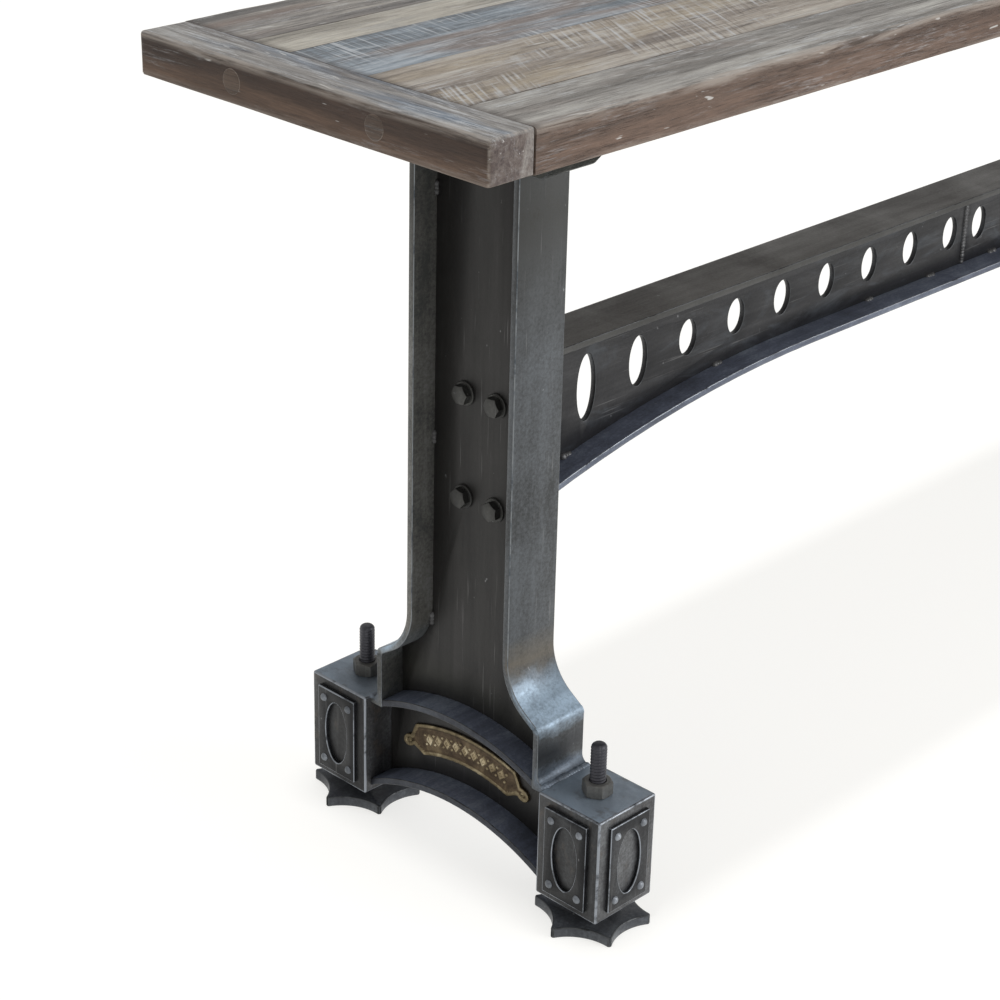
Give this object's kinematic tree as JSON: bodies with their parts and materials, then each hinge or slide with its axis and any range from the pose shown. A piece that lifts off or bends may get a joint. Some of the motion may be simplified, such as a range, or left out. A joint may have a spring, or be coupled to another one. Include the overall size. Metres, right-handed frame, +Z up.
{
  "type": "industrial plank-topped sewing table",
  "caption": "Long narrow plank-topped table on two blackened steel I-section legs, joined by a haunched, pierced stretcher, on threaded star-pad levelling feet.",
  "frame": {"origin": "on the floor under the middle of the tabletop", "axes": "+X along the table's length to the right, the sitter's side faces -Y, +Z up"},
  "size_m": [1.793, 0.392, 0.762],
  "materials": {
    "wood_grey": "reclaimed, weathered grey-brown with whitewash traces",
    "wood_brown": "reclaimed, dark reddish brown with scuffs",
    "wood_blue": "reclaimed, worn blue-grey paint",
    "wood_tan": "reclaimed, pale tan",
    "steel_dark": "blackened, matt",
    "steel_mid": "blackened, rubbed grey on its faces",
    "steel_blue": "blued and blackened",
    "steel_fastener": "worn blackened fasteners",
    "brass": "aged, brown in the recesses"
  },
  "bodies": {
    "frame": {"border_plank_front": "wood_grey", "border_plank_rear": "wood_grey", "inner_plank_front": "wood_brown", "inner_plank_middle": "wood_blue", "inner_plank_rear": "wood_tan", "end_board_left": "wood_brown", "end_board_right": "wood_brown", "wood_plugs": "wood_tan", "saddle_plate_left": "steel_dark", "saddle_plate_right": "steel_dark", "saddle_web_left": "steel_dark", "saddle_web_right": "steel_dark", "saddle_cradle_left": "steel_dark", "saddle_cradle_right": "steel_dark", "post_web_left": "steel_dark", "post_web_right": "steel_dark", "rail_web_left": "steel_dark", "rail_web_right": "steel_dark", "stretcher_web_left": "steel_dark", "stretcher_web_right": "steel_dark", "stretcher_end_plates": "steel_dark", "post_flange_front_left": "steel_mid", "post_flange_front_right": "steel_mid", "post_flange_rear_left": "steel_mid", "post_flange_rear_right": "steel_mid", "stretcher_top_flange": "steel_mid", "block_panels": "steel_mid", "rail_rib_left": "steel_blue", "rail_rib_right": "steel_blue", "rail_arch_left": "steel_blue", "rail_arch_right": "steel_blue", "foot_block_front_left": "steel_blue", "foot_block_front_right": "steel_blue", "foot_block_rear_left": "steel_blue", "foot_block_rear_right": "steel_blue", "stretcher_arch_flange": "steel_blue", "end_board_screws": "steel_fastener", "saddle_screws": "steel_fastener", "panel_rivets": "steel_fastener", "stretcher_bolts": "steel_fastener", "bolt_washers": "steel_fastener", "brass_plates": "brass", "brass_plate_screws": "brass"},
    "foot_front_left": {"foot_rod_front_left": "steel_fastener", "star_pad_front_left": "steel_blue"},
    "thin_nut_front_left": {"thin_nut_front_left": "steel_fastener"},
    "top_nut_front_left": {"top_nut_front_left": "steel_fastener"},
    "foot_front_right": {"foot_rod_front_right": "steel_fastener", "star_pad_front_right": "steel_blue"},
    "thin_nut_front_right": {"thin_nut_front_right": "steel_fastener"},
    "top_nut_front_right": {"top_nut_front_right": "steel_fastener"},
    "foot_rear_left": {"foot_rod_rear_left": "steel_fastener", "star_pad_rear_left": "steel_blue"},
    "thin_nut_rear_left": {"thin_nut_rear_left": "steel_fastener"},
    "top_nut_rear_left": {"top_nut_rear_left": "steel_fastener"},
    "foot_rear_right": {"foot_rod_rear_right": "steel_fastener", "star_pad_rear_right": "steel_blue"},
    "thin_nut_rear_right": {"thin_nut_rear_right": "steel_fastener"},
    "top_nut_rear_right": {"top_nut_rear_right": "steel_fastener"}
  },
  "joints": [
    {"name": "front_left_foot_travel", "type": "slide", "parent": "frame", "child": "foot_front_left", "axis": [0, 0, -1], "range_m": [-0.004, 0.02]},
    {"name": "front_left_thin_nut_turn", "type": "hinge", "parent": "frame", "child": "thin_nut_front_left", "pos_m": [-0.6985, -0.1465, 0.0194], "axis": [0, 0, 1], "range_deg": [-480.5, 2400.5]},
    {"name": "front_left_top_nut_turn", "type": "hinge", "parent": "frame", "child": "top_nut_front_left", "pos_m": [-0.6985, -0.1465, 0.1329], "axis": [0, 0, 1], "range_deg": [-480.5, 2400.5]},
    {"name": "front_right_foot_travel", "type": "slide", "parent": "frame", "child": "foot_front_right", "axis": [0, 0, -1], "range_m": [-0.004, 0.02]},
    {"name": "front_right_thin_nut_turn", "type": "hinge", "parent": "frame", "child": "thin_nut_front_right", "pos_m": [0.6985, -0.1465, 0.0194], "axis": [0, 0, 1], "range_deg": [-480.5, 2400.5]},
    {"name": "front_right_top_nut_turn", "type": "hinge", "parent": "frame", "child": "top_nut_front_right", "pos_m": [0.6985, -0.1465, 0.1329], "axis": [0, 0, 1], "range_deg": [-480.5, 2400.5]},
    {"name": "rear_left_foot_travel", "type": "slide", "parent": "frame", "child": "foot_rear_left", "axis": [0, 0, -1], "range_m": [-0.004, 0.02]},
    {"name": "rear_left_thin_nut_turn", "type": "hinge", "parent": "frame", "child": "thin_nut_rear_left", "pos_m": [-0.6985, 0.1465, 0.0194], "axis": [0, 0, 1], "range_deg": [-480.5, 2400.5]},
    {"name": "rear_left_top_nut_turn", "type": "hinge", "parent": "frame", "child": "top_nut_rear_left", "pos_m": [-0.6985, 0.1465, 0.1329], "axis": [0, 0, 1], "range_deg": [-480.5, 2400.5]},
    {"name": "rear_right_foot_travel", "type": "slide", "parent": "frame", "child": "foot_rear_right", "axis": [0, 0, -1], "range_m": [-0.004, 0.02]},
    {"name": "rear_right_thin_nut_turn", "type": "hinge", "parent": "frame", "child": "thin_nut_rear_right", "pos_m": [0.6985, 0.1465, 0.0194], "axis": [0, 0, 1], "range_deg": [-480.5, 2400.5]},
    {"name": "rear_right_top_nut_turn", "type": "hinge", "parent": "frame", "child": "top_nut_rear_right", "pos_m": [0.6985, 0.1465, 0.1329], "axis": [0, 0, 1], "range_deg": [-480.5, 2400.5]}
  ],
  "couplings": [
    {"joint": "front_left_thin_nut_turn", "follows": "front_left_foot_travel", "rad_per_m": 2094.4},
    {"joint": "front_left_top_nut_turn", "follows": "front_left_foot_travel", "rad_per_m": 2094.4},
    {"joint": "front_right_thin_nut_turn", "follows": "front_right_foot_travel", "rad_per_m": 2094.4},
    {"joint": "front_right_top_nut_turn", "follows": "front_right_foot_travel", "rad_per_m": 2094.4},
    {"joint": "rear_left_thin_nut_turn", "follows": "rear_left_foot_travel", "rad_per_m": 2094.4},
    {"joint": "rear_left_top_nut_turn", "follows": "rear_left_foot_travel", "rad_per_m": 2094.4},
    {"joint": "rear_right_thin_nut_turn", "follows": "rear_right_foot_travel", "rad_per_m": 2094.4},
    {"joint": "rear_right_top_nut_turn", "follows": "rear_right_foot_travel", "rad_per_m": 2094.4}
  ]
}
